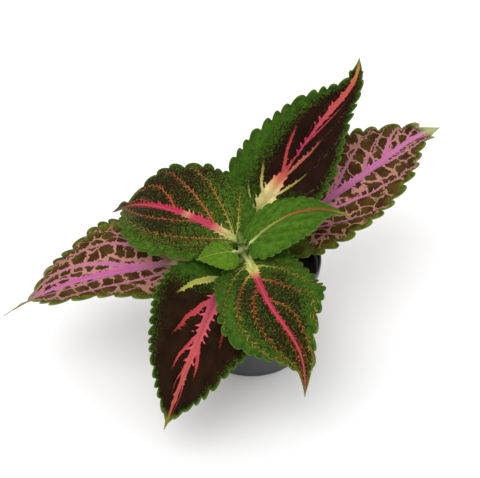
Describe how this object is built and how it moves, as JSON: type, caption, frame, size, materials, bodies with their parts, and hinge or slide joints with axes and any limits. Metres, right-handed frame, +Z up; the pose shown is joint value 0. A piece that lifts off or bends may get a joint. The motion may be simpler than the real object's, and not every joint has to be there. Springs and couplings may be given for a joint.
{
  "type": "potted coleus",
  "caption": "Bushy coleus with large toothed, patterned leaves in opposite pairs on a short square stem, standing in soil in a round plastic nursery pot.",
  "frame": {"origin": "centre of the pot's flat foot, on the surface that it stands on", "axes": "+Z up along the pot's axis, -Y towards the viewer's side of the plant, +X to the viewer's right"},
  "size_m": [0.3887, 0.3075, 0.1954],
  "materials": {
    "pot": "dark grey, satin",
    "soil": "dark, loose and matt",
    "stem": "pale green, finely hairy",
    "leaf_right": "pink net over olive, finely hairy",
    "leaf_left": "pink net over olive, finely hairy",
    "leaf_back": "maroon with a green edge, finely hairy",
    "leaf_front_left": "chocolate with a green edge, finely hairy",
    "leaf_front": "green with red and yellow veins, finely hairy",
    "leaf_back_left": "dark and speckled, finely hairy",
    "young_leaf_right": "fresh green, finely hairy",
    "young_leaf_left": "yellow green, finely hairy"
  },
  "bodies": {
    "root": {"pot": "pot", "soil": "soil", "stem": "stem", "leaf_right": "leaf_right", "leaf_left": "leaf_left", "leaf_back": "leaf_back", "leaf_front_left": "leaf_front_left", "leaf_front": "leaf_front", "leaf_back_left": "leaf_back_left", "young_leaf_right": "young_leaf_right", "young_leaf_left": "young_leaf_left"}
  },
  "joints": []
}
